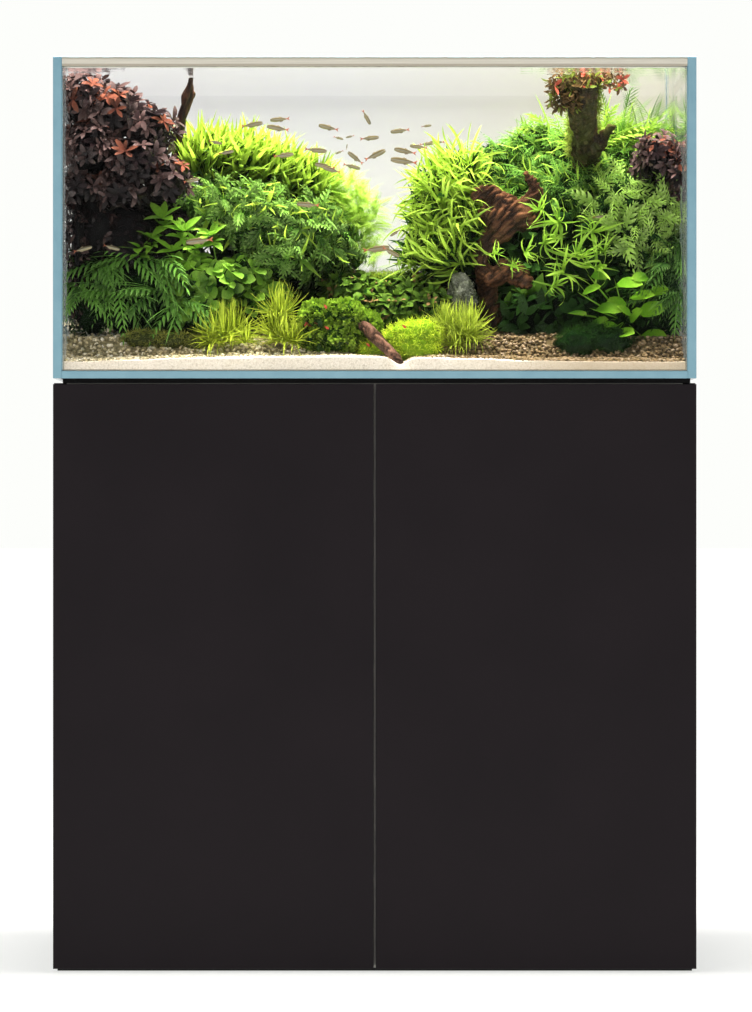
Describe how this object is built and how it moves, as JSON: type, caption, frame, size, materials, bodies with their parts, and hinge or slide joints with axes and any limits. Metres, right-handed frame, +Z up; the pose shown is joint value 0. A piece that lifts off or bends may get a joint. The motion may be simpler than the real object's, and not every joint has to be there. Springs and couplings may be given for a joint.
{
  "type": "aquarium on stand",
  "caption": "Rimless glass aquarium with a planted driftwood scape, on a dark matt cabinet stand with handleless overlay doors on concealed hinges.",
  "frame": {"origin": "on the floor, at the bottom centre of the bounding box, under the middle of the cabinet", "axes": "+Z up from the floor to the tank rim, +X to the right seen from the doors, the doors and the viewing pane face -Y"},
  "size_m": [0.9, 0.4506, 1.281],
  "materials": {
    "tank_glass": "clear polished float glass with blue-green edges",
    "silicone": "translucent cured silicone",
    "background_film": "white frosted diffusing film",
    "foam_mat": "black closed-cell foam",
    "white_sand": "fine white cosmetic sand",
    "river_gravel": "mixed fine pebbles",
    "driftwood": "wet dark bogwood",
    "scape_stone": "worn grey stone, partly mossed",
    "red_foliage": "dark red aquatic leaves",
    "bright_foliage": "yellow-green aquatic leaves",
    "green_foliage": "mid-green aquatic leaves",
    "dark_foliage": "dark green fern fronds",
    "dark_lacquered_board": "near-black matt lacquer on board",
    "base_rail": "black edging",
    "plated_steel": "nickel plated",
    "screw_steel": "zinc plated",
    "dowel_beech": "fluted beech",
    "latch_grey": "grey moulded plastic",
    "latch_white": "white moulded plastic",
    "clear_buffer": "clear soft elastomer"
  },
  "bodies": {
    "stand_and_tank": {"back_panel": "dark_lacquered_board", "back_screws": "screw_steel", "background_film": "background_film", "base_rails": "base_rail", "bottom_panel": "dark_lacquered_board", "cam_bolts": "screw_steel", "cam_locks": "screw_steel", "divider_panel": "dark_lacquered_board", "dowels": "dowel_beech", "driftwood_left_spar": "driftwood", "driftwood_main": "driftwood", "driftwood_stump": "driftwood", "driftwood_twig": "driftwood", "glass_back": "tank_glass", "glass_base": "tank_glass", "glass_front": "tank_glass", "glass_left": "tank_glass", "glass_right": "tank_glass", "gravel_banks": "river_gravel", "hinge_arms": "plated_steel", "hinge_plate_screws": "screw_steel", "hinge_plates": "plated_steel", "latch_housings": "latch_grey", "levelling_mat": "foam_mat", "plant_broad_leaf_right": "green_foliage", "plant_dark_ferns": "dark_foliage", "plant_fern_bright_left": "bright_foliage", "plant_fine_stem_centre": "bright_foliage", "plant_frond_right": "green_foliage", "plant_grass_left": "bright_foliage", "plant_grass_right": "bright_foliage", "plant_hedge_right_rear": "green_foliage", "plant_moss_bush_centre": "green_foliage", "plant_narrow_fern_centre": "bright_foliage", "plant_red_left": "red_foliage", "plant_red_right": "red_foliage", "plant_riccia_mound": "bright_foliage", "plant_round_leaf_left": "green_foliage", "plant_valley_cover": "green_foliage", "sand_bed": "white_sand", "shelf": "dark_lacquered_board", "shelf_pins": "screw_steel", "side_panel_left": "dark_lacquered_board", "side_panel_right": "dark_lacquered_board", "silicone_corner_beads": "silicone", "silicone_foot_beads": "silicone", "stone_grey": "scape_stone", "stone_mossy": "scape_stone", "top_panel": "dark_lacquered_board"},
    "left_door": {"door_left": "dark_lacquered_board", "door_buffers_left": "clear_buffer", "hinge_cups_left": "plated_steel", "hinge_cup_screws_left": "screw_steel"},
    "right_door": {"door_right": "dark_lacquered_board", "door_buffers_right": "clear_buffer", "hinge_cups_right": "plated_steel", "hinge_cup_screws_right": "screw_steel"},
    "left_plunger": {"latch_plunger_left": "latch_white"},
    "right_plunger": {"latch_plunger_right": "latch_white"}
  },
  "joints": [
    {"name": "left_door_swing", "type": "hinge", "parent": "stand_and_tank", "child": "left_door", "pos_m": [-0.4425, -0.21725, 0.414], "axis": [0, 0, -1], "range_deg": [0, 95]},
    {"name": "right_door_swing", "type": "hinge", "parent": "stand_and_tank", "child": "right_door", "pos_m": [0.4425, -0.21725, 0.414], "axis": [0, 0, 1], "range_deg": [0, 95]},
    {"name": "left_plunger_slide", "type": "slide", "parent": "stand_and_tank", "child": "left_plunger", "axis": [0, -1, 0], "range_m": [0, 0.02]},
    {"name": "right_plunger_slide", "type": "slide", "parent": "stand_and_tank", "child": "right_plunger", "axis": [0, -1, 0], "range_m": [0, 0.02]}
  ],
  "couplings": [
    {"joint": "left_plunger_slide", "follows": "left_door_swing", "m_per_rad": 0.012},
    {"joint": "right_plunger_slide", "follows": "right_door_swing", "m_per_rad": 0.012}
  ]
}
